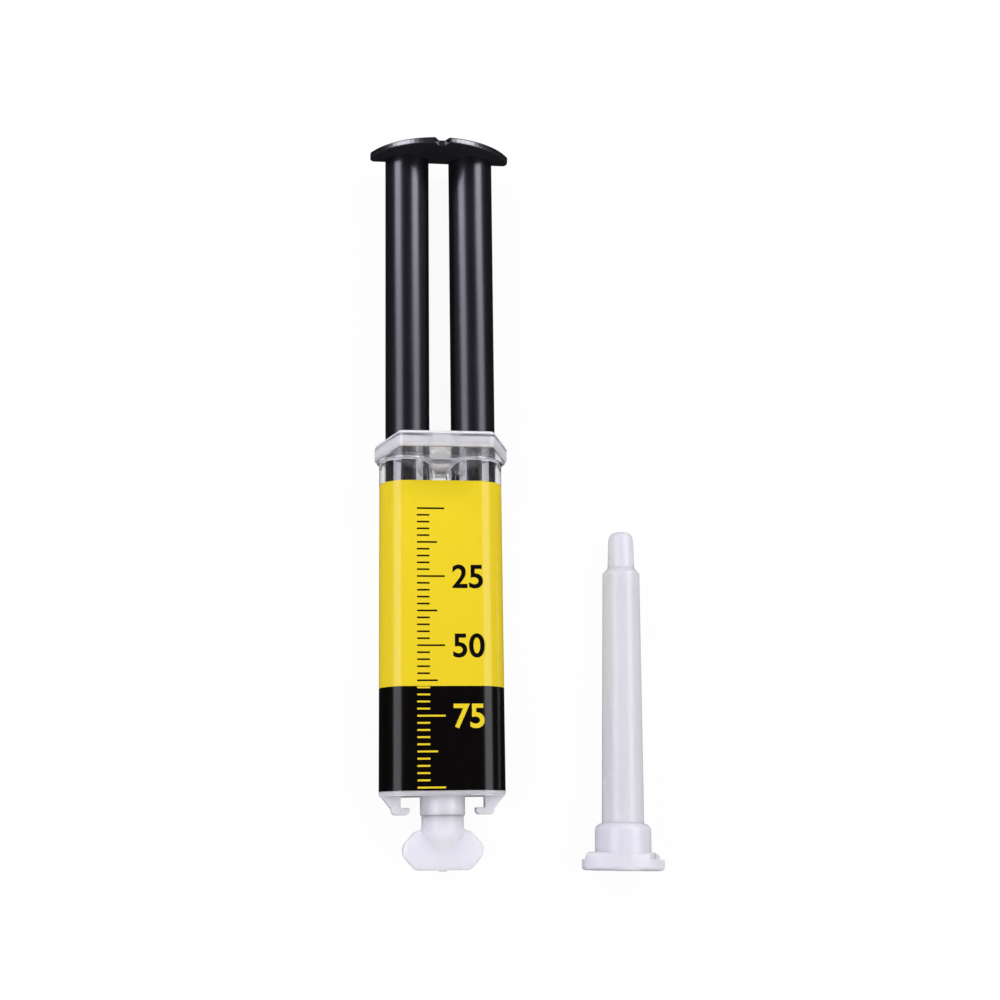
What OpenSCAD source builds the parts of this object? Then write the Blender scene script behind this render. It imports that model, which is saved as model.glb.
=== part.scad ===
// Twin-barrel syringe for a two-part adhesive, lying on its back beside its mixing nozzle.
// Each syringe piece is modelled upright, its axis along Z and its front towards -Y, then laid down.

/* [Barrel] */
// Inside diameter of each tube
bore_d = 7.6; // [6.8:0.1:8.4]
// Wall of each tube where it is bare
tube_wall = 0.8; // [0.7:0.05:1.1]
// Distance between the two tube axes
tube_spacing = 10.75; // [10:0.25:12]
// Length from the end face to the top of the finger flange
barrel_length = 56; // [50:0.5:65]
// Thickness of the end wall behind the nose
end_wall = 1.2; // [0.8:0.1:2]
// Front-to-back depth of the web that joins the tubes
web_depth = 3; // [2:0.5:6]
// Bevel round the end face
end_bevel = 0.4; // [0.2:0.05:0.6]

/* [Finger flange] */
// Thickness of the flange
flange_t = 2.6; // [1.8:0.1:3.5]
// How far the flange reaches past the front of the tubes
flange_reach = 7.7; // [5:0.1:10]
// How far the flange stands out past each side of the tubes
flange_ear = 0.75; // [0.3:0.05:2]
// Width of the flange's front edge
flange_front_w = 14.9; // [11:0.1:17]
// Distance from the tube axes forward to the front corner of each ear
ear_front = 1.9; // [1:0.1:5]
// Length of each ear's straight side
ear_length = 2.3; // [1:0.1:3]
// How far the flange narrows at each side towards its back edge
flange_back_inset = 1.9; // [1:0.1:3]
// Radius of the flange's corners in plan
flange_corner_r = 0.9; // [0.3:0.1:1]
// Rounding of the flange's edges
flange_edge_r = 0.5; // [0.2:0.05:0.6]
// Radius of the fillet round each tube under the flange
flange_fillet_r = 0.4; // [0.2:0.05:0.6]
// Drop of the wedge that fills the valley between the tubes under the flange
gusset_drop = 1.9; // [1:0.1:3]

/* [Nose and bayonet] */
// Outside diameter of the nose
nose_d = 7.04; // [6.4:0.1:7.6]
// Length of the nose past the end face
nose_length = 2.9; // [2.6:0.1:4]
// Diameter of each outlet port
port_d = 1.4; // [1:0.1:1.7]
// Wall between a port and the outside of the nose
nose_wall = 0.5; // [0.4:0.05:0.7]
// How far each hook's foot grips under the nozzle base
hook_grip = 1.3; // [0.8:0.1:1.4]
// Thickness of each hook's arm at its foot
hook_arm_t = 1.4; // [1.2:0.05:1.9]
// Thickness of each hook's foot
hook_foot_t = 1.05; // [1:0.05:1.6]
// Front-to-back depth of each hook
hook_depth = 3; // [2:0.1:4]
// Rounding at each hook's foot
hook_round = 0.4; // [0.2:0.05:0.5]

/* [Label] */
// Thickness of the label film
label_t = 0.12; // [0.08:0.02:0.2]
// Height of bare tube between the label and the flange
clear_strip = 3.7; // [2:0.1:8]
// Height of the bare rim below the label
label_rim = 0.75; // [0.65:0.05:1.2]

/* [Plunger] */
// Depth of the rod ends below the top of the flange at rest
rod_insertion = 6.4; // [5:0.2:9]
// Gap left between the thumb plate and the flange when the syringe is empty
plate_standoff = 6.3; // [3:0.1:12]
// Wall of each hollow rod
rod_wall = 1.2; // [0.8:0.1:1.6]
// Diameter of the stub that carries each piston
stub_d = 4; // [3:0.1:4.6]
// Length of that stub
stub_length = 3; // [2:0.1:3.4]
// Thickness of the thumb plate
plate_t = 1; // [0.8:0.1:2]
// How far the thumb plate reaches past the front of the rods
plate_reach = 5; // [3:0.1:8]
// How far the thumb plate stands out past each rod's side
plate_ear = 2.6; // [1:0.1:4]
// Length of the thumb plate's straight sides
plate_side = 1.7; // [1:0.1:2.5]
// Rounding of the thumb plate's edges
plate_edge_r = 0.2; // [0.1:0.05:0.35]
// Radius of the thumb plate's corners in plan
plate_corner_r = 0.8; // [0.3:0.1:0.9]
// Width of the notch at the moulding gate
notch_w = 2.6; // [2:0.1:4]
// Width of that notch at its floor
notch_floor_w = 1; // [0.4:0.1:1.6]
// Depth of that notch
notch_depth = 1.4; // [1:0.1:2.5]

/* [Pistons] */
// Length of each piston
piston_length = 4.5; // [4:0.1:6]
// Length of each sealing lip
lip_length = 0.8; // [0.5:0.05:1]
// Depth of the grooves between the lips
lip_depth = 0.35; // [0.2:0.05:0.5]

/* [End cap] */
// Length of the cap's neck
neck_length = 2.3; // [1.8:0.1:3.5]
// Flare of the neck where it runs into the grip
neck_flare = 0.3; // [0.2:0.05:0.6]
// Length over which the neck's front and back run down into the grip's faces
neck_blend = 4; // [2.5:0.1:4.5]
// Width of the cap's grip across its rounded sides
grip_w = 12.6; // [10:0.1:15]
// Height of the grip
grip_h = 6.05; // [5:0.1:8]
// Length of the grip's straight top and bottom edges
grip_flat_w = 7.2; // [6:0.1:9]
// Thickness of the grip
grip_t = 3; // [2:0.1:3.6]
// Radius of the grip's sides
grip_side_r = 1.9; // [1:0.1:2.5]
// Radius of the grip's corners at its top and bottom edges
grip_corner_r = 1.5; // [0.5:0.1:1.8]
// Rounding of the grip's edges
grip_edge_r = 0.5; // [0.2:0.05:0.7]

/* [Mixing nozzle] */
// Thickness of the nozzle's base
base_t = 2.75; // [2.3:0.05:3.2]
// Thickness of each ear of the base where a hook grips it
ear_t = 1.65; // [1.2:0.05:2]
// How far each ear of the base stands out past the collar
base_ear = 2.05; // [1.7:0.05:2.4]
// Wall of the collar round the socket
collar_wall = 0.85; // [0.6:0.05:1.1]
// Length of the collar above the base
collar_length = 3.25; // [2.8:0.05:5]
// Length of the shoulder between the collar and the tube
shoulder_length = 1.2; // [0.6:0.05:2]
// Outside diameter of the tube at the shoulder
mixer_tube_d = 6.7; // [6:0.05:7]
// Outside diameter of the tube at its far end
mixer_tube_end_d = 6.05; // [5.4:0.05:6.3]
// Length of the tube
mixer_tube_length = 40.2; // [30:0.1:60]
// Wall of the tube
mixer_wall = 0.7; // [0.5:0.05:0.9]
// Length of the step down from the tube to the tip
tip_step_length = 1; // [0.6:0.1:2]
// Outside diameter of the tip at the step
tip_d = 4.4; // [3.8:0.05:4.8]
// Outside diameter of the tip at its end
tip_end_d = 4.1; // [3.4:0.05:4.3]
// Length of the tip
tip_length = 5.9; // [4:0.1:9]
// Diameter of the outlet
outlet_d = 1.8; // [1.2:0.1:2.2]

/* [Mixing element] */
// Number of blades, wound left and right by turns
blade_count = 10; // [6:1:14]
// Thickness of each blade
blade_t = 0.6; // [0.4:0.05:0.9]

/* [Layout] */
// Distance from the syringe's axis to the nozzle's base
nozzle_x = 28.4; // [24:0.1:45]
// How far the nozzle's base lies past the cap's grip
nozzle_drop = 0.45; // [0:0.05:5]
// Angle by which the nozzle points away from the syringe
nozzle_yaw = 1.7; // [0:0.1:10]

/* [Hidden] */
$fn = 96;

// Clearances between pieces that fit together
piston_clearance = 0.03;
rod_clearance = 0.2;
rod_draft = 0.08;
stub_clearance = 0.05;
seat_gap = 0.02;
pin_clearance = 0.05;
socket_clearance = 0.08;
socket_gap = 0.2;
bayonet_clearance = 0.1;
blade_clearance = 0.05;
blade_inset = 0.3;
foot_step = 0.05;
overrun = 0.5;

// Steps of the rounded outlines and edges
corner_steps = 6;
edge_steps = 3;
arc_steps = 36;
blade_slices = 18;
blade_sides = 6;

// Barrel
bore_r = bore_d / 2;
tube_r = bore_r + tube_wall;
tube_x = tube_spacing / 2;
barrel_half_w = tube_x + tube_r;
flange_z = barrel_length - flange_t;
flange_half_w = barrel_half_w + flange_ear;
flange_front = tube_r + flange_reach;
flange_back = tube_r + foot_step;

// Label, flush with the bare rims above and below it
label_outer_r = tube_r - seat_gap;
label_inner_r = label_outer_r - label_t;
recess_r = label_inner_r - seat_gap;
label_top = flange_z - clear_strip;

// Plunger, pistons and charges
piston_back_z = barrel_length - rod_insertion;
piston_front_z = piston_back_z - piston_length;
piston_r = bore_r - piston_clearance;
charge_z = end_wall + seat_gap;
charge_length = piston_front_z - seat_gap - charge_z;
rod_z = piston_back_z + seat_gap;
rod_r = bore_r - rod_clearance;
rod_top_r = rod_r + rod_draft;
plate_z = barrel_length + charge_length + plate_standoff;
plate_half_w = tube_x + rod_top_r + plate_ear;
plate_front = rod_top_r + plate_reach;
plate_rise = plate_front - plate_side;
plate_r = (plate_half_w * plate_half_w + plate_rise * plate_rise) / (2 * plate_rise);
plate_sweep = 2 * asin(plate_half_w / plate_r);

// Nose, ports and hooks, fitted to the nozzle's base
nose_r = nose_d / 2;
port_r = port_d / 2;
port_x = nose_r - nose_wall - port_r;
socket_r = nose_r + socket_clearance;
socket_depth = nose_length + socket_gap;
collar_r = socket_r + collar_wall;
base_r = collar_r + base_ear;
slot_x = base_r + bayonet_clearance;
slot_h = ear_t + bayonet_clearance;
hook_length = slot_h + hook_foot_t;
hook_tip_x = base_r - hook_grip;
hook_out_x = slot_x + hook_arm_t;

// End cap
neck_step = 0.2;
neck_r = nose_r - neck_step;
neck_top_z = -nose_length - seat_gap;
neck_end_r = grip_t / 2 - seat_gap;
grip_top_z = neck_top_z - neck_length;
grip_bottom_z = grip_top_z - grip_h;
gate_r = 0.6;
gate_h = 0.2;

// Nozzle, from its base at zero to its tip
base_edge_r = 0.8;
base_foot_r = 0.5;
base_crown_r = 9;
ear_step_r = hook_tip_x - bayonet_clearance;
collar_z = base_t + collar_length;
tube_z = collar_z + shoulder_length;
tube_end_z = tube_z + mixer_tube_length;
tip_z = tube_end_z + tip_step_length;
tip_end_z = tip_z + tip_length;
tip_round_share = 0.9;
tip_round_w = tip_round_share * (tip_end_d - outlet_d) / 2;
tip_round_h = 1.4;
bore_base_r = mixer_tube_d / 2 - mixer_wall;
bore_end_r = mixer_tube_end_d / 2 - mixer_wall;
outlet_r = outlet_d / 2;
blade_z = socket_depth + blade_inset;
blade_end_z = tube_end_z - mixer_wall;
blade_r = min(bore_base_r, bore_end_r) - blade_clearance;
blade_pitch = (blade_end_z - blade_z) / blade_count;
blade_turn = 180;

// Nozzle lying on its collar and on the far end of its tube
nozzle_tilt = atan((collar_r - mixer_tube_end_d / 2) / (tube_end_z - collar_z));
nozzle_lift = (collar_r + collar_z * tan(nozzle_tilt)) * cos(nozzle_tilt);
nozzle_y = grip_bottom_z - nozzle_drop;
floor_z = -flange_back;

module lay_syringe() {
  rotate([-90, 0, 0])
    children();
}

module lay_nozzle() {
  translate([nozzle_x, nozzle_y, floor_z + nozzle_lift + seat_gap])
    rotate([0, 0, -nozzle_yaw])
      rotate([-90 - nozzle_tilt, 0, 0])
        children();
}

module at_both_tubes() {
  for (side = [-1, 1])
    translate([side * tube_x, 0, 0])
      children();
}

// Outline of the convex polygon with each corner rounded; the points run anticlockwise.
function unit(v) = v / norm(v);
function turned(v, a) = [v.x * cos(a) - v.y * sin(a), v.x * sin(a) + v.y * cos(a)];
function rounded_corner(before, at, after, r) =
  let (to_before = unit(before - at))
  let (to_after = unit(after - at))
  let (half = acos(to_before * to_after) / 2)
  let (centre = at + unit(to_before + to_after) * r / sin(half))
  let (first = at + to_before * r / tan(half) - centre)
  [for (i = [0:corner_steps]) centre + turned(first, (180 - 2 * half) * i / corner_steps)];
function rounded_outline(points, r) =
  let (n = len(points))
  [for (i = [0:n - 1]) each rounded_corner(points[(i + n - 1) % n], points[i], points[(i + 1) % n], r)];

// Quarter turn of a round edge, as [distance in, height] pairs
function edge_profile(r) =
  [for (i = [0:edge_steps]) let (a = 90 * i / edge_steps) [r * (1 - sin(a)), r * (1 - cos(a))]];

// Flat plate with the outline of its child and rounded edges
module rounded_plate(thickness, edge_r) {
  hull()
    for (step = edge_profile(edge_r))
      translate([0, 0, step[1]])
        linear_extrude(thickness - 2 * step[1])
          offset(delta = -step[0])
            children();
}

// Two round ends joined by straight sides
module stadium(r) {
  at_both_tubes()
    circle(r);
  square([tube_spacing, 2 * r], center = true);
}

// End of the barrel, bevelled round its lower edge
module end_block() {
  profile = [[-tube_r + end_bevel, 0], [tube_r - end_bevel, 0], [tube_r, end_bevel],
             [tube_r, label_rim], [-tube_r, label_rim], [-tube_r, end_bevel]];
  at_both_tubes() {
    cylinder(h = end_bevel, r1 = tube_r - end_bevel, r2 = tube_r);
    translate([0, 0, end_bevel])
      cylinder(h = label_rim - end_bevel, r = tube_r);
  }
  rotate([90, 0, 90])
    linear_extrude(tube_spacing, center = true)
      polygon(profile);
  translate([0, 0, end_bevel])
    linear_extrude(end_wall - end_bevel)
      stadium(recess_r);
}

module flange() {
  half_front = flange_front_w / 2;
  half_back = flange_half_w - flange_back_inset;
  ear_back = ear_front - ear_length;
  outline = rounded_outline([
    [half_front, -flange_front], [flange_half_w, -ear_front], [flange_half_w, -ear_back],
    [half_back, flange_back], [-half_back, flange_back], [-flange_half_w, -ear_back],
    [-flange_half_w, -ear_front], [-half_front, -flange_front]
  ], flange_corner_r);
  translate([0, 0, flange_z])
    rounded_plate(flange_t, flange_edge_r)
      polygon(outline);
}

// Fillets round the tubes under the flange, cut off level with the flange's back
module tube_fillets() {
  inner_r = tube_r - tube_wall / 2;
  outer_r = tube_r + flange_fillet_r;
  arc = [
    for (i = [0:corner_steps])
      let (a = 90 * i / corner_steps)
      [outer_r - flange_fillet_r * sin(a), flange_z - flange_fillet_r * (1 - cos(a))]
  ];
  intersection() {
    at_both_tubes()
      rotate_extrude()
        polygon(concat(
          [[inner_r, flange_z + overrun], [outer_r, flange_z + overrun]],
          arc,
          [[inner_r, flange_z - flange_fillet_r]]
        ));
    translate([-flange_half_w, -outer_r, flange_z - flange_fillet_r])
      cube([2 * flange_half_w, outer_r + flange_back, flange_fillet_r + overrun]);
  }
}

// Wedge under the flange, from the front of the tubes back to the web between them
module gusset() {
  profile = [[-tube_r, flange_z], [-web_depth / 2, flange_z - gusset_drop], [0, flange_z - gusset_drop],
             [0, flange_z + overrun], [-tube_r, flange_z + overrun]];
  rotate([90, 0, 90])
    linear_extrude(tube_spacing, center = true)
      polygon(profile);
}

// One L-shaped bayonet hook below the end face
module hook() {
  profile = [
    [slot_x, end_bevel], [slot_x, -slot_h], [hook_tip_x, -slot_h],
    [hook_tip_x, -hook_length + hook_round], [hook_tip_x + hook_round, -hook_length],
    [hook_out_x - hook_round, -hook_length], [hook_out_x, -hook_length + hook_round],
    [hook_out_x, -slot_h - hook_round / 2], [barrel_half_w - end_bevel, 0],
    [barrel_half_w - end_bevel, end_bevel]
  ];
  rotate([90, 0, 0])
    linear_extrude(hook_depth, center = true)
      polygon(profile);
}

module barrel() {
  color([0.84, 0.84, 0.88, 0.5])
    lay_syringe()
      difference() {
        union() {
          at_both_tubes() {
            cylinder(h = barrel_length, r = recess_r);
            translate([0, 0, label_top + seat_gap])
              cylinder(h = clear_strip + overrun, r = tube_r);
          }
          translate([-tube_x, -web_depth / 2, 0])
            cube([tube_spacing, web_depth, flange_z + overrun]);
          end_block();
          flange();
          tube_fillets();
          gusset();
          translate([0, 0, -nose_length])
            cylinder(h = nose_length + overrun, r = nose_r);
          hook();
          mirror([1, 0, 0])
            hook();
        }
        at_both_tubes()
          translate([0, 0, end_wall])
            cylinder(h = barrel_length, r = bore_r);
        for (side = [-1, 1])
          translate([side * port_x, 0, -nose_length - overrun])
            cylinder(h = nose_length + end_wall + 2 * overrun, r = port_r);
      }
}

module label_sleeve() {
  color([0.96, 0.84, 0.16])
    lay_syringe()
      translate([0, 0, label_rim + seat_gap])
        linear_extrude(label_top - label_rim - seat_gap)
          difference() {
            stadium(label_outer_r);
            stadium(label_inner_r);
          }
}

module charge(side) {
  lay_syringe()
    translate([side * tube_x, 0, charge_z])
      cylinder(h = charge_length, r = piston_r);
}

module resin_charge() {
  color([0.93, 0.93, 0.9])
    charge(-1);
}

module hardener_charge() {
  color([0.9, 0.8, 0.55])
    charge(1);
}

module thumb_plate() {
  centre_y = plate_r - plate_front;
  front_arc = [
    for (i = [0:arc_steps])
      let (a = -90 - plate_sweep / 2 + plate_sweep * i / arc_steps)
      [plate_r * cos(a), centre_y + plate_r * sin(a)]
  ];
  outline = concat(front_arc, [[plate_half_w, 0], [-plate_half_w, 0]]);
  difference() {
    rounded_plate(plate_t, plate_edge_r)
      offset(r = plate_corner_r)
        offset(delta = -plate_corner_r)
          polygon(outline);
    translate([0, -plate_front, -overrun])
      linear_extrude(plate_t + 2 * overrun)
        polygon([[-notch_floor_w / 2, notch_depth], [-notch_w / 2, 0], [-notch_w / 2, -overrun],
                 [notch_w / 2, -overrun], [notch_w / 2, 0], [notch_floor_w / 2, notch_depth]]);
  }
}

module plunger() {
  rod_length = plate_z - rod_z;
  color([0.07, 0.07, 0.08])
    lay_syringe()
      difference() {
        union() {
          at_both_tubes() {
            translate([0, 0, rod_z])
              cylinder(h = rod_length, r1 = rod_r, r2 = rod_top_r);
            translate([0, 0, plate_z])
              cylinder(h = plate_t, r = rod_top_r);
            translate([0, 0, rod_z - stub_length])
              cylinder(h = stub_length + overrun, d = stub_d);
          }
          translate([0, 0, plate_z])
            thumb_plate();
        }
        at_both_tubes()
          translate([0, 0, rod_z + stub_length])
            cylinder(h = rod_length, r = rod_r - rod_wall);
      }
}

module piston(side) {
  groove_r = piston_r - lip_depth;
  socket_wall_r = stub_d / 2 + stub_clearance;
  profile = [
    [0, 0], [groove_r, 0], [piston_r, lip_length / 2], [piston_r, lip_length],
    [groove_r, lip_length + lip_depth], [groove_r, piston_length - lip_length - lip_depth],
    [piston_r, piston_length - lip_length], [piston_r, piston_length],
    [socket_wall_r, piston_length], [socket_wall_r, piston_length - stub_length - stub_clearance],
    [0, piston_length - stub_length - stub_clearance]
  ];
  lay_syringe()
    translate([side * tube_x, 0, piston_front_z])
      rotate_extrude()
        polygon(profile);
}

module piston_left() {
  color([0.9, 0.9, 0.92])
    piston(-1);
}

module piston_right() {
  color([0.9, 0.9, 0.92])
    piston(1);
}

// Grip of the cap, six-sided with well rounded sides
module grip() {
  corner_z = grip_h / 2 - grip_corner_r;
  translate([0, grip_t / 2, (grip_top_z + grip_bottom_z) / 2])
    rotate([90, 0, 0])
      rounded_plate(grip_t, grip_edge_r)
        hull()
          for (side = [-1, 1]) {
            translate([side * (grip_w / 2 - grip_side_r), 0])
              circle(grip_side_r);
            for (end = [-1, 1])
              translate([side * grip_flat_w / 2, end * corner_z])
                circle(grip_corner_r);
          }
}

// Neck of the cap, drawn in below like a bell until it runs out on the grip's faces, and flared sideways
module neck() {
  foot_r = neck_r + neck_flare;
  bell = [
    for (i = [0:corner_steps])
      let (share = i / corner_steps)
      [neck_end_r + (neck_r - neck_end_r) * (1 + cos(180 * share)) / 2, -neck_blend * share]
  ];
  rotate_extrude()
    polygon(concat([[0, neck_length], [neck_r, neck_length]], bell, [[0, -neck_blend]]));
  intersection() {
    rotate_extrude()
      polygon([[0, -grip_edge_r], [foot_r, -grip_edge_r], [foot_r, 0],
               [neck_r, neck_flare], [0, neck_flare]]);
    translate([-foot_r, -grip_t / 2, -grip_edge_r])
      cube([2 * foot_r, grip_t, grip_edge_r + neck_flare]);
  }
}

module end_cap() {
  color([0.88, 0.87, 0.92])
    lay_syringe() {
      grip();
      translate([0, 0, grip_top_z])
        neck();
      translate([0, 0, grip_bottom_z - gate_h])
        cylinder(h = gate_h + overrun, r = gate_r);
      for (side = [-1, 1])
        translate([side * port_x, 0, neck_top_z - overrun])
          cylinder(h = nose_length + end_wall + overrun, r = port_r - pin_clearance);
    }
}

// Half section of the nozzle's outside above its base, then down its inside
module nozzle_section() {
  shoulder = [
    for (i = [0:corner_steps])
      let (a = 90 * i / corner_steps)
      [mixer_tube_d / 2 + (collar_r - mixer_tube_d / 2) * cos(a), collar_z + shoulder_length * sin(a)]
  ];
  tip_round = [
    for (i = [0:corner_steps])
      let (a = 90 * i / corner_steps)
      [tip_end_d / 2 - tip_round_w * (1 - cos(a)), tip_end_z - tip_round_h * (1 - sin(a))]
  ];
  polygon(concat(
    [[socket_r, 0], [collar_r, 0]],
    shoulder,
    [[mixer_tube_end_d / 2, tube_end_z], [tip_d / 2, tip_z]],
    tip_round,
    [[outlet_r, tip_end_z], [outlet_r, tip_z], [bore_end_r, tube_end_z - mixer_wall],
     [bore_base_r, socket_depth], [socket_r, socket_depth]]
  ));
}

// Disc as thick as the nozzle's base, with rounded edges
module base_disc(r) {
  foot = [
    for (i = [0:corner_steps])
      let (a = 90 * i / corner_steps)
      [r - base_foot_r * (1 - sin(a)), base_foot_r * (1 - cos(a))]
  ];
  rim = [
    for (i = [0:corner_steps])
      let (a = 90 * i / corner_steps)
      [r - base_edge_r * (1 - cos(a)), base_t - base_edge_r * (1 - sin(a))]
  ];
  rotate_extrude()
    polygon(concat([[0, 0]], foot, rim, [[0, base_t]]));
}

// Step in one ear's back, open on the side that turns under a hook first and closed by a stop on the other
module ear_step() {
  stop_y = hook_depth / 2 + bayonet_clearance;
  translate([0, 0, ear_t])
    difference() {
      translate([0, stop_y - 2 * base_r, 0])
        cube([base_r + overrun, 2 * base_r, base_t]);
      translate([0, 0, -overrun])
        cylinder(h = base_t + 2 * overrun, r = ear_step_r);
    }
}

// Oval base, which passes between the hooks lengthwise and then turns under them
module nozzle_base() {
  crown_y = base_crown_r - collar_r;
  difference() {
    intersection() {
      base_disc(base_r);
      translate([0, crown_y, 0])
        base_disc(base_crown_r);
      translate([0, -crown_y, 0])
        base_disc(base_crown_r);
    }
    translate([0, 0, -overrun])
      cylinder(h = base_t + 2 * overrun, r = socket_r + collar_wall / 2);
    ear_step();
    rotate([0, 0, 180])
      ear_step();
  }
}

module mixing_nozzle() {
  color([0.87, 0.86, 0.91])
    lay_nozzle() {
      rotate_extrude()
        nozzle_section();
      nozzle_base();
    }
}

// Row of half-turn blades, each of the other hand than the last and square to its end
module mixing_element() {
  color([0.95, 0.95, 0.97])
    lay_nozzle()
      for (i = [0:blade_count - 1])
        translate([0, 0, blade_z + i * blade_pitch])
          rotate([0, 0, 90 * i])
            linear_extrude(
              blade_pitch + (i < blade_count - 1 ? blade_t / 4 : 0),
              twist = i % 2 == 0 ? blade_turn : -blade_turn,
              slices = blade_slices,
              $fn = blade_sides
            )
              square([2 * blade_r, blade_t], center = true);
}

barrel();
label_sleeve();
resin_charge();
hardener_charge();
plunger();
piston_left();
piston_right();
end_cap();
mixing_nozzle();
mixing_element();
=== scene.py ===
from math import cos, pi, radians, sin

import bmesh
import bpy
from mathutils import Matrix, Vector


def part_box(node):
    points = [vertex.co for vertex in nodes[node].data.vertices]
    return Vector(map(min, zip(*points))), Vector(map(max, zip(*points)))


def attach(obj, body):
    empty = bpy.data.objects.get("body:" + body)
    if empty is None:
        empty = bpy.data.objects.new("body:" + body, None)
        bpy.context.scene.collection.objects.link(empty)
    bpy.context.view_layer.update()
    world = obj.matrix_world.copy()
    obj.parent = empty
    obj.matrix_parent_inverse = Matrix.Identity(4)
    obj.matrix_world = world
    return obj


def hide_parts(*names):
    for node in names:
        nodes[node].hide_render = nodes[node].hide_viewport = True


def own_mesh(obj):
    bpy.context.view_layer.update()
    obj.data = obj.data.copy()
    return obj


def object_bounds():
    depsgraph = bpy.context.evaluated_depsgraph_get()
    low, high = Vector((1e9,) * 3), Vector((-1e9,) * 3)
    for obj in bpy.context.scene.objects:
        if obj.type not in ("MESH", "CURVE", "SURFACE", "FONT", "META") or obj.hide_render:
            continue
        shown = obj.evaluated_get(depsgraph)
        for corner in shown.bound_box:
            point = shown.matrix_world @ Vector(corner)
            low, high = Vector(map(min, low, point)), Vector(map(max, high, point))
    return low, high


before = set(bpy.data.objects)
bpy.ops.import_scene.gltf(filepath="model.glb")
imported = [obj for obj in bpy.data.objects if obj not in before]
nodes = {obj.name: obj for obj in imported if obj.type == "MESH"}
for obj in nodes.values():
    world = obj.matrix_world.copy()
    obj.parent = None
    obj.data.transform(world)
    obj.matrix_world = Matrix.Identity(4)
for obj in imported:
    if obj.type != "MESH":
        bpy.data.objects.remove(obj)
cad_low, cad_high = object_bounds()
scene = bpy.context.scene
scene.view_settings.view_transform = "Standard"

MM = 0.001
MERGE_DISTANCE = 1e-7

# Colours, linear
WHITE = (1, 1, 1, 1)
LABEL_YELLOW = (0.88, 0.67, 0.023, 1)
LABEL_YELLOW_WORN = (0.85, 0.645, 0.021, 1)
LABEL_BLACK = (0.0010, 0.0004, 0.0004, 1)
LABEL_BLACK_WORN = (0.0022, 0.0014, 0.0014, 1)
PLUNGER_BLACK = (0.0040, 0.0040, 0.0055, 1)
PLUNGER_BLACK_WORN = (0.0085, 0.0085, 0.0110, 1)
BLACK_SHEEN = (0.93, 0.91, 1.0, 1)
BARREL_CLEAR = (0.91, 0.91, 0.97, 1)
BARREL_MILK = (0.78, 0.77, 0.81, 1)
# brownish tint laid towards the bottom of the valley between the tubes
BARREL_WARM = (0.56, 0.47, 0.44, 1)
NOZZLE_MILK = (0.75, 0.745, 0.79, 1)
NOZZLE_MILK_PALE = (0.785, 0.78, 0.825, 1)
CAP_MILK = (0.79, 0.78, 0.84, 1)
CAP_MILK_PALE = (0.82, 0.81, 0.865, 1)
# painted light: the paler colour laid on faces towards the cap's end, to cancel their shade
MILK_PAINTED_LIGHT = (0.95, 0.935, 1.0, 1)
PISTON_MILK = (0.72, 0.72, 0.75, 1)
BLADE_MILK = (0.76, 0.76, 0.80, 1)
RESIN = (0.78, 0.77, 0.70, 1)
RESIN_PALE = (0.86, 0.86, 0.80, 1)
HARDENER = (0.72, 0.55, 0.25, 1)
HARDENER_PALE = (0.80, 0.66, 0.34, 1)
FLOOR = (0.80, 0.80, 0.80, 1)
FLOOR_IN_GLOSS = (0.03, 0.03, 0.03, 1)
FLOOR_SEEN = (0.06, 0.06, 0.06, 1)
LAMP_LEFT = (0.92, 0.905, 1.0)
LAMP = (0.96, 0.955, 1.0)

# How strongly the plastics bend light: the thin tubes little, the thick flange fully
TUBE_BEND = 1.12
FLANGE_BEND = 1.49
MILK_BEND = 1.5
COAT_BEND = 2.1

# Places and sizes on the syringe, in metres
FLANGE_T = 2.6 * MM
FLANGE_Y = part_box("barrel")[1].y - FLANGE_T
FLANGE_MARGIN = 0.05 * MM
FLANGE_LINE_DROP = 0.72 * MM
FLANGE_LINE_Y = FLANGE_Y + FLANGE_T - FLANGE_LINE_DROP
FLANGE_LINE_HALF = 0.32 * MM
GUSSET_DROP = 1.9 * MM
VALLEY_RIM = 0.3 * MM
END_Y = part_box("label_sleeve")[0].y
PLATE_T = 1.0 * MM
PLATE_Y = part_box("plunger")[1].y - PLATE_T
LABEL_FRONT_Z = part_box("label_sleeve")[1].z
LABEL_FLAT_Z = LABEL_FRONT_Z * 0.9
LABEL_SPLIT_Y = 16.8 * MM
LABEL_SEAT = 0.03 * MM
TUBE_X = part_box("label_sleeve")[1].x - LABEL_FRONT_Z
TUBE_R = LABEL_FRONT_Z + LABEL_SEAT
TUBE_SKIN = 0.4 * MM

# The scale on the label: it runs from the pistons' faces at rest to the ends of the charges
SCALE_ZERO_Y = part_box("piston_left")[0].y
SCALE_END_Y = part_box("resin_charge")[0].y
SCALE_FULL = 100
SCALE_UNITS = 4
SCALE_STEP = (SCALE_ZERO_Y - SCALE_END_Y) / SCALE_UNITS
SCALE_LEFT_X = -4.2 * MM
SCALE_MARGIN = 0.2 * MM
RUNG_HALF = 0.14 * MM
RUNG_LONG = 4.4 * MM
RUNG_MIDDLE = 3.2 * MM
RUNG_SHORT = 2.0 * MM
NUMERAL_SIZE = 5.2 * MM
NUMERAL_WEIGHT = 0.10 * MM
NUMERAL_CURVE = 6
NUMERAL_X = 3.9 * MM
NUMERAL_DROP = 1.8 * MM
INK_T = 0.004 * MM

# Limits of the masks: parts of a unit normal, and shares of the gusset's drop
FACING_UNDER = -0.7
FACING_ALONG = 0.9
# gain of the painted edge highlight across the flange's rounded edges
EDGE_HIGHLIGHT_GAIN = 3
VALLEY_START = 0.02
VALLEY_STOP = 1.05

# How milky the barrel is, as shares of 1
MILK_ALL = 0.005
MILK_END = 0.9
MILK_TOP = 0.05
MILK_FRONT = 0.40
MILK_SIDE = 0.35
# painted highlight: how milky the flange's glinting edges are made
MILK_EDGE_HIGHLIGHT = 0.9
MILK_VALLEY = 0.15
MILK_VALLEY_DEEP = 0.6
MILK_VALLEY_RIM = 0.25

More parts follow.
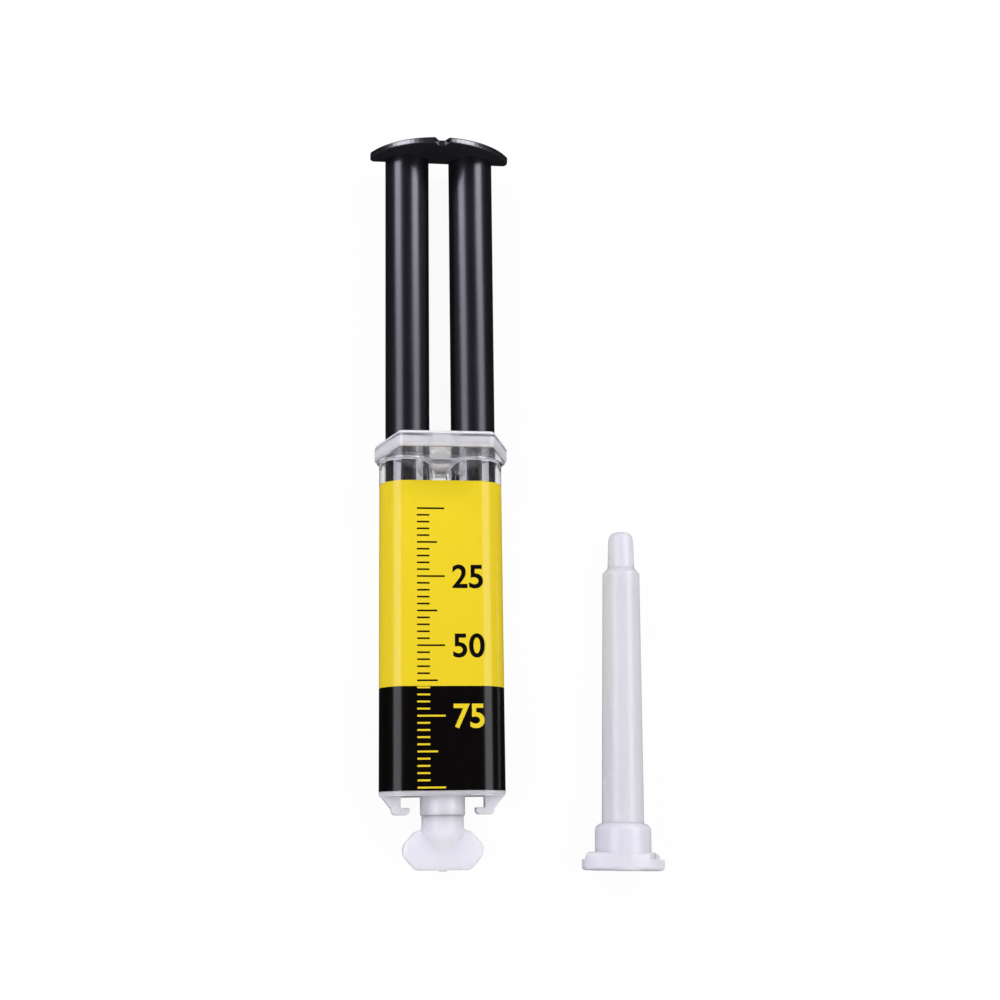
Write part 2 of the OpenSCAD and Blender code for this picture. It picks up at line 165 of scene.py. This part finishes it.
# The studio: lengths in metres, the lens and sensor in millimetres, angles in degrees
FLOOR_RADIUS = 4.0
FLOOR_SIDES = 64
FLOOR_GAP = 0.02 * MM
FLOOR_GLOW = 0.945
BOX_WIDTH = 0.25
BOX_DISTANCE = 0.45
BOX_AIM_X = 5 * MM
BOX_SIDES = (("left", -47, -55, LAMP_LEFT), ("right", 46, 38, LAMP))  # lean of near and far box, colour
NEAR_BOX = (-0.25, 0.26, 2.95)  # start and stop along Y, radiance
FAR_BOX = (0.26, 0.48, 6.4)
FRONT_PLACE = (0.01, -0.45, 0.45)
FRONT_TARGET = (0.01, 0.02, 0)
FRONT_WIDTH = 0.50
FRONT_LENGTH = 0.30
FRONT_RADIANCE = 1.35
WORLD_DIM = 0.06
WORLD_BRIGHT = 1.0
CAMERA_PLACE = (-20.99 * MM, -7.63 * MM, 250 * MM)
CAMERA_TURNS = ((-7.011, "Y"), (12.364, "X"), (-0.831, "Z"))
CAMERA_LENS = 56.74
CAMERA_SENSOR = 36
CAMERA_NEAR = 0.01


class Wire:
    """An output socket; arithmetic on it adds Math nodes to its finish."""

    def __init__(self, finish, socket):
        self.finish = finish
        self.socket = socket

    def out(self, name):
        return Wire(self.finish, self.socket.node.outputs[name])

    def math(self, operation, *values):
        return self.finish.node("ShaderNodeMath", {"operation": operation}, dict(enumerate(values)))

    def __add__(self, other):
        return self.math("ADD", self, other)

    def __radd__(self, other):
        return self.math("ADD", other, self)

    def __sub__(self, other):
        return self.math("SUBTRACT", self, other)

    def __rsub__(self, other):
        return self.math("SUBTRACT", other, self)

    def __mul__(self, other):
        return self.math("MULTIPLY", self, other)

    def __rmul__(self, other):
        return self.math("MULTIPLY", other, self)

    def __truediv__(self, other):
        return self.math("DIVIDE", self, other)

    def __lt__(self, other):
        return self.math("LESS_THAN", self, other)

    def __gt__(self, other):
        return self.math("GREATER_THAN", self, other)

    def __abs__(self):
        return self.math("ABSOLUTE", self)


class Finish:
    """A material or the world, as a node tree that starts empty but for its output."""

    def __init__(self, owner, output):
        owner.use_nodes = True
        self.owner = owner
        self.tree = owner.node_tree
        self.tree.nodes.clear()
        self.output = self.tree.nodes.new(output)

    def node(self, kind, settings, sockets, out=0):
        made = self.tree.nodes.new(kind)
        for name, value in settings.items():
            setattr(made, name, value)
        for name, value in sockets.items():
            if isinstance(value, Wire):
                self.tree.links.new(value.socket, made.inputs[name])
            else:
                made.inputs[name].default_value = value
        return Wire(self, made.outputs[out])

    def point(self):
        """The place on the piece, in Object coordinates."""
        return self.node("ShaderNodeTexCoord", {}, {}, "Object")

    def normal(self):
        """The way the surface faces, before any bump."""
        return self.node("ShaderNodeTexCoord", {}, {}, "Normal")

    def part(self, vector, axis):
        """A vector's X, Y or Z."""
        return self.node("ShaderNodeSeparateXYZ", {}, {"Vector": vector}, axis)

    def noise(self, point, size, drawn=1, detail=2.0):
        """Noise with features of about the given size, drawn out that many times along Y."""
        scaled = self.node("ShaderNodeMapping", {}, {"Vector": point, "Scale": (1, 1 / drawn, 1)})
        return self.node("ShaderNodeTexNoise", {}, {"Vector": scaled, "Scale": 1 / size, "Detail": detail})

    def blend(self, share, first, second):
        """Colour between first and second."""
        sockets = {0: share, 6: first, 7: second}
        return self.node("ShaderNodeMix", {"data_type": "RGBA"}, sockets, 2)

    def bump(self, height, depth, strength):
        sockets = {"Height": height, "Distance": depth, "Strength": strength}
        return self.node("ShaderNodeBump", {}, sockets)

    def plastic(self, sockets):
        return self.node("ShaderNodeBsdfPrincipled", {}, sockets)

    def mixed(self, share, first, second):
        return self.node("ShaderNodeMixShader", {}, {0: share, 1: first, 2: second})

    def to_eye(self):
        """1 where the eye looks straight, or through clear walls with no reflection on the way,
        or through no more than one clear wall; 0 elsewhere."""
        ray = self.node("ShaderNodeLightPath", {}, {}, "Is Camera Ray")
        no_reflection = ray.out("Glossy Depth") < 0.5
        one_wall = ray.out("Transmission Depth") < 2.5
        direct = ray.math("MAXIMUM", no_reflection, one_wall)
        return ray.math("MAXIMUM", ray, ray.out("Is Transmission Ray") * direct)

    def finish(self, shader):
        self.tree.links.new(shader.socket, self.output.inputs["Surface"])
        return self.owner


def new_finish(name):
    return Finish(bpy.data.materials.new(name), "ShaderNodeOutputMaterial")


def plunger_finish():
    """Black moulded plastic, half glossy, with faint draw lines along the rods and a shinier plate rim."""
    f = new_finish("plunger_black_plastic")
    point = f.point()
    draw = f.noise(point, size=0.5 * MM, drawn=40)
    grain = f.noise(point, size=0.12 * MM)
    scuff = f.noise(point, size=3 * MM, drawn=3, detail=4.0)
    in_plate = f.part(point, "Y") > PLATE_Y
    under_plate = f.part(f.normal(), "Y") < FACING_UNDER
    return f.finish(f.plastic({
        "Base Color": f.blend(draw * scuff * 1.6, PLUNGER_BLACK, PLUNGER_BLACK_WORN),
        "Roughness": 0.21 + draw * 0.04 + scuff * 0.06 + under_plate * 0.4,
        "Specular IOR Level": 0.8,
        "Specular Tint": BLACK_SHEEN,
        "Coat Weight": in_plate * (1 - under_plate) * 0.6,
        "Coat Roughness": 0.22,
        "Coat IOR": COAT_BEND,
        "Normal": f.bump(grain * 0.4 + draw, depth=0.004 * MM, strength=0.5),
    }))


def barrel_finish():
    """Clear plastic, milky at the end, in the valley between the tubes and on the flange's faces, with a
    painted highlight: the flange's rounded edges made milky and whiter.
    """
    f = new_finish("barrel_clear_plastic")
    point = f.point()
    x, y, z = (f.part(point, axis) for axis in "XYZ")
    cloud = f.noise(point, size=2.5 * MM, drawn=2, detail=3.0)
    grain = f.noise(point, size=0.2 * MM)
    sideways = abs(f.part(f.normal(), "X"))
    along = abs(f.part(f.normal(), "Y"))

    flange = y > FLANGE_Y - FLANGE_MARGIN
    clear_line = y.math("MAXIMUM", 1 - abs(y - FLANGE_LINE_Y) / FLANGE_LINE_HALF, 0)
    # painted highlight: the flange's top rounding and rounded edges are made milky and whiter, to stand in
    # for the lamps' glint on them
    top_edge_highlight = (y > FLANGE_LINE_Y + FLANGE_LINE_HALF) * (along < FACING_ALONG)
    edge = flange * y.math("MAXIMUM", top_edge_highlight, along * (1 - along) * EDGE_HIGHLIGHT_GAIN)

    from_tube = abs(x) - TUBE_X
    off_axis = y.math("SQRT", from_tube * from_tube + z * z)
    outer = off_axis > TUBE_R - TUBE_SKIN
    depth = (FLANGE_Y - y) / GUSSET_DROP
    in_valley = (depth > VALLEY_START) * (depth < VALLEY_STOP)
    valley = (off_axis > TUBE_R) * (abs(x) < TUBE_X) * in_valley
    valley_rim = valley * (off_axis < TUBE_R + VALLEY_RIM)
    # the valley is tinted browner and darker towards its bottom, but not on a thin rim along the tubes
    warm = valley * depth * (1 - valley_rim)

    def clear(bend, coat):
        """Clear wall, its coat only on the outside."""
        return f.plastic({
            "Base Color": f.blend(cloud, BARREL_CLEAR, WHITE),
            "Roughness": 0.03 + cloud * 0.04 + flange * 0.04,
            "IOR": bend,
            "Transmission Weight": 1.0,
            "Coat Weight": outer * coat,
            "Coat Roughness": 0.05,
            "Coat IOR": COAT_BEND,
            "Normal": f.bump(grain, depth=0.002 * MM, strength=0.3),
        })

    # the milk whitens with its cloud and with the painted edge highlight
    milk = f.plastic({
        "Base Color": f.blend(warm, f.blend(cloud * 0.5 + edge, BARREL_MILK, WHITE), BARREL_WARM),
        "Roughness": 0.28 + cloud * 0.1,
        "IOR": FLANGE_BEND,
        "Subsurface Weight": 1.0,
        "Subsurface Radius": (1.0, 1.0, 1.0),
        "Subsurface Scale": 2.0 * MM,
    })
    face = (MILK_TOP + (1 - along) * (MILK_FRONT + sideways * MILK_SIDE)) * (1 - clear_line)
    # painted highlight: the flange's edges made milky as well as its faces
    flange_milk = flange * y.math("MAXIMUM", face, edge * MILK_EDGE_HIGHLIGHT)
    valley_milk = valley * (MILK_VALLEY + depth * MILK_VALLEY_DEEP) + valley_rim * MILK_VALLEY_RIM
    milkiness = MILK_ALL + flange_milk + valley_milk + (y < END_Y) * MILK_END
    walls = f.mixed(flange, clear(TUBE_BEND, coat=1.0), clear(FLANGE_BEND, coat=0.3))
    return f.finish(f.mixed(milkiness, walls, milk))


def label_finish():
    """Printed film: yellow above, black below, with a graduated scale down the front."""
    f = new_finish("label_film")
    point = f.point()
    x, y, z = (f.part(point, axis) for axis in "XYZ")
    grain = f.noise(point, size=0.08 * MM)
    tone = f.noise(point, size=6 * MM, drawn=2, detail=3.0)
    rubbed = f.noise(point, size=1.2 * MM, drawn=4, detail=4.0)

    def rungs(every, length):
        """Lines across the scale at each step, from its left end."""
        shifted = SCALE_ZERO_Y - y + every / 2
        line = abs(y.math("FLOORED_MODULO", shifted, every) - every / 2) < RUNG_HALF
        inside = (x > SCALE_LEFT_X) * (x < SCALE_LEFT_X + length)
        return line * inside

    front = z > LABEL_FLAT_Z
    below = y < LABEL_SPLIT_Y
    in_scale = (y < SCALE_ZERO_Y + SCALE_MARGIN) * (y > SCALE_END_Y - SCALE_MARGIN) * front
    longer = y.math("MAXIMUM", rungs(SCALE_STEP, RUNG_LONG), rungs(SCALE_STEP / 2, RUNG_MIDDLE))
    rung = y.math("MAXIMUM", longer, rungs(SCALE_STEP / 10, RUNG_SHORT)) * in_scale
    dark = abs(below - rung)
    yellow = f.blend(tone, LABEL_YELLOW, LABEL_YELLOW_WORN)
    black = f.blend(rubbed, LABEL_BLACK, LABEL_BLACK_WORN)
    return f.finish(f.plastic({
        "Base Color": f.blend(dark, yellow, black),
        "Roughness": 0.15 + rubbed * 0.05,
        "Specular IOR Level": 0.38,
        "Normal": f.bump(grain * 0.4 + rubbed, depth=0.002 * MM, strength=0.4),
    }))


def milk_finish(name, colour, pale, roughness, reach, painted_light_gain=0.0):
    """Natural plastic: milky, with faint draw lines; where it faces the cap's end it is painted paler,
    painted light that cancels the shade falling there.
    """
    f = new_finish(name)
    point = f.point()
    cloud = f.noise(point, size=3 * MM, drawn=3, detail=3.0)
    draw = f.noise(point, size=0.4 * MM, drawn=30)
    grain = f.noise(point, size=0.15 * MM)
    facing_end = -1 * f.part(f.normal(), "Y")
    # painted light: how much paler, growing as the face turns towards the cap's end
    painted_light_share = cloud.math("MINIMUM", cloud.math("MAXIMUM", facing_end * painted_light_gain, 0), 1)
    return f.finish(f.plastic({
        "Base Color": f.blend(painted_light_share, f.blend(cloud, colour, pale), MILK_PAINTED_LIGHT),
        "Roughness": roughness + cloud * 0.05,
        "IOR": MILK_BEND,
        "Subsurface Weight": 1.0,
        "Subsurface Radius": (1.0, 1.0, 1.05),
        "Subsurface Scale": reach,
        "Normal": f.bump(grain * 0.5 + draw * 0.6, depth=0.004 * MM, strength=0.4),
    }))


def paste_finish(name, colour, pale):
    """Thick adhesive, faintly clouded."""
    f = new_finish(name)
    swirl = f.noise(f.point(), size=2 * MM, drawn=3, detail=4.0)
    return f.finish(f.plastic({
        "Base Color": f.blend(swirl, colour, pale),
        "Roughness": 0.18 + swirl * 0.1,
        "Subsurface Weight": 0.6,
        "Subsurface Radius": (1.0, 0.9, 0.7),
        "Subsurface Scale": 1.5 * MM,
    }))


def ink_finish(name, colour, worn):
    """Printing ink, a little rubbed."""
    f = new_finish(name)
    rubbed = f.noise(f.point(), size=0.5 * MM, drawn=2, detail=4.0)
    return f.finish(f.plastic({
        "Base Color": f.blend(rubbed, colour, worn),
        "Roughness": 0.20 + rubbed * 0.08,
        "Specular IOR Level": 0.4,
    }))


def floor_finish():
    """White to the eye with a soft shadow, and dark in what shines."""
    f = new_finish("studio_floor")
    gloss = f.node("ShaderNodeLightPath", {}, {}, "Is Glossy Ray")
    plain = f.plastic({
        "Base Color": f.blend(gloss, FLOOR, FLOOR_IN_GLOSS),
        "Roughness": 0.85 + f.noise(f.point(), size=4 * MM) * 0.1,
        "Specular IOR Level": 0.0,
    })
    pale = f.plastic({
        "Base Color": FLOOR_SEEN,
        "Roughness": 0.9,
        "Specular IOR Level": 0.0,
        "Emission Color": WHITE,
        "Emission Strength": FLOOR_GLOW,
    })
    return f.finish(f.mixed(f.to_eye(), plain, pale))


finishes = {
    "barrel": barrel_finish(),
    "label_sleeve": label_finish(),
    "plunger": plunger_finish(),
    "piston_left": milk_finish(
        "piston_plastic", PISTON_MILK, WHITE, roughness=0.4, reach=1.2 * MM),
    # the cap gets painted light on faces towards its end, to cancel their shade
    "end_cap": milk_finish(
        "end_cap_plastic", CAP_MILK, CAP_MILK_PALE, roughness=0.36, reach=4.5 * MM, painted_light_gain=1.2),
    "mixing_nozzle": milk_finish(
        "mixing_nozzle_plastic", NOZZLE_MILK, NOZZLE_MILK_PALE, roughness=0.24, reach=1.6 * MM),
    "mixing_element": milk_finish(
        "mixing_blade_plastic", BLADE_MILK, WHITE, roughness=0.35, reach=1.2 * MM),
}
finishes["piston_right"] = finishes["piston_left"]
for name, material in finishes.items():
    for slot in nodes[name].material_slots:
        slot.link = "OBJECT"
        slot.material = material


def new_piece(name, mesh_maker, body, material):
    """An object at the origin whose mesh mesh_maker fills, riding on body."""
    form = bmesh.new()
    mesh_maker(form)
    mesh = bpy.data.meshes.new(name)
    form.to_mesh(mesh)
    form.free()
    piece = bpy.data.objects.new(name, mesh)
    scene.collection.objects.link(piece)
    mesh.materials.append(material)
    mesh.shade_smooth()
    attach(piece, body)
    return piece


def turned(form, outline, axis_x, turns=64):
    """Spins an outline of (radius, y) points about the line x = axis_x along Y."""
    points = [form.verts.new((axis_x + r, y, 0)) for r, y in outline]
    edges = [form.edges.new(pair) for pair in zip(points, points[1:])]
    bmesh.ops.spin(
        form, geom=points + edges, cent=(axis_x, 0, 0), axis=(0, 1, 0),
        angle=radians(360), steps=turns, use_merge=True,
    )
    bmesh.ops.remove_doubles(form, verts=form.verts, dist=MERGE_DISTANCE)
    bmesh.ops.recalc_face_normals(form, faces=form.faces)


def charge_piece(node, name, colour, pale):
    """One part of the adhesive, its corner rounded at the end wall and its rim eased at the piston."""
    low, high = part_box(node)
    axis_x = (low.x + high.x) / 2
    radius = (high.x - low.x) / 2
    edge = 0.3 * MM
    corner = edge * 0.3
    rim_drop = edge * 0.1
    rim_radius = radius * 0.85

    def fill(form):
        turned(form, [
            (0, low.y), (radius - edge, low.y),
            (radius - corner, low.y + corner), (radius, low.y + edge),
            (radius, high.y - rim_drop), (rim_radius, high.y), (0, high.y),
        ], axis_x)

    piece = new_piece(name, fill, "syringe_barrel", paste_finish(name + "_paste", colour, pale))
    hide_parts(node)
    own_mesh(piece)


charge_piece("resin_charge", "resin_fill", RESIN, RESIN_PALE)
charge_piece("hardener_charge", "hardener_fill", HARDENER, HARDENER_PALE)


def numeral(number, y, material):
    """A number of the scale, printed on the flat front of the label."""
    words = bpy.data.curves.new("scale_numeral", "FONT")
    words.body = str(number)
    words.size = NUMERAL_SIZE
    words.offset = NUMERAL_WEIGHT
    words.align_x = "CENTER"
    words.resolution_u = NUMERAL_CURVE
    sketch = bpy.data.objects.new("scale_numeral_sketch", words)
    scene.collection.objects.link(sketch)
    bpy.context.view_layer.update()
    flat = bpy.data.meshes.new_from_object(sketch.evaluated_get(bpy.context.evaluated_depsgraph_get()))
    bpy.data.objects.remove(sketch)

    def print_on(form):
        form.from_mesh(flat)
        bmesh.ops.translate(form, verts=form.verts, vec=(NUMERAL_X, y, LABEL_FRONT_Z + INK_T))

    new_piece(f"scale_numeral_{number}", print_on, "syringe_barrel", material)


dark_ink = ink_finish("label_black_ink", LABEL_BLACK, LABEL_BLACK_WORN)
yellow_ink = ink_finish("label_yellow_ink", LABEL_YELLOW, LABEL_YELLOW_WORN)
for step in range(1, SCALE_UNITS):
    line_y = SCALE_ZERO_Y - step * SCALE_STEP
    ink = dark_ink if line_y > LABEL_SPLIT_Y else yellow_ink
    numeral(SCALE_FULL * step // SCALE_UNITS, line_y - NUMERAL_DROP, ink)


floor_form = bmesh.new()
bmesh.ops.create_circle(floor_form, cap_ends=True, segments=FLOOR_SIDES, radius=FLOOR_RADIUS)
bmesh.ops.translate(floor_form, verts=floor_form.verts, vec=(0, 0, cad_low.z - FLOOR_GAP))
floor_mesh = bpy.data.meshes.new("studio_floor")
floor_form.to_mesh(floor_mesh)
floor_form.free()
floor = bpy.data.objects.new("studio_floor", floor_mesh)
floor_mesh.materials.append(floor_finish())
scene.collection.objects.link(floor)


def soft_box(name, place, target, width, length, radiance, colour):
    """A soft box that shines on target, its length along the syringe as far as that allows."""
    lamp = bpy.data.lights.new(name, "AREA")
    lamp.shape = "RECTANGLE"
    lamp.size = width
    lamp.size_y = length
    lamp.energy = radiance * pi * width * length
    lamp.color = colour
    box = bpy.data.objects.new(name, lamp)
    box.location = place
    aim = (Vector(target) - Vector(place)).normalized()
    across = Vector((0, 1, 0)).cross(-aim).normalized()
    along = (-aim).cross(across)
    box.rotation_euler = Matrix((across, along, -aim)).transposed().to_euler()
    scene.collection.objects.link(box)


def beside(y, angle, distance):
    """A place over the syringe at y, leaning to one side by angle."""
    lean = Vector((sin(radians(angle)), 0, cos(radians(angle))))
    return Vector((BOX_AIM_X, y, 0)) + distance * lean


for side, near_angle, far_angle, colour in BOX_SIDES:
    boxes = (("near", near_angle, NEAR_BOX), ("far", far_angle, FAR_BOX))
    for part, angle, (start, stop, radiance) in boxes:
        middle = (start + stop) / 2
        place = beside(middle, angle, BOX_DISTANCE)
        target = beside(middle, angle, 0)
        soft_box(f"{side}_{part}_soft_box", place, target, BOX_WIDTH, stop - start, radiance, colour)
soft_box("front_soft_box", FRONT_PLACE, FRONT_TARGET, FRONT_WIDTH, FRONT_LENGTH, FRONT_RADIANCE, LAMP)

world = bpy.data.worlds.new("studio")
scene.world = world
sky = Finish(world, "ShaderNodeOutputWorld")
dim = sky.node("ShaderNodeBackground", {}, {"Color": WHITE, "Strength": WORLD_DIM})
bright = sky.node("ShaderNodeBackground", {}, {"Color": WHITE, "Strength": WORLD_BRIGHT})
sky.finish(sky.mixed(sky.to_eye(), dim, bright))

camera = bpy.data.objects.new("camera", bpy.data.cameras.new("camera"))
camera.data.sensor_width = CAMERA_SENSOR
camera.data.lens = CAMERA_LENS
camera.data.clip_start = CAMERA_NEAR
camera.location = CAMERA_PLACE
turn = Matrix.Identity(3)
for angle, axis in CAMERA_TURNS:
    turn = turn @ Matrix.Rotation(radians(angle), 3, axis)
camera.rotation_euler = turn.to_euler()
scene.collection.objects.link(camera)
scene.camera = camera
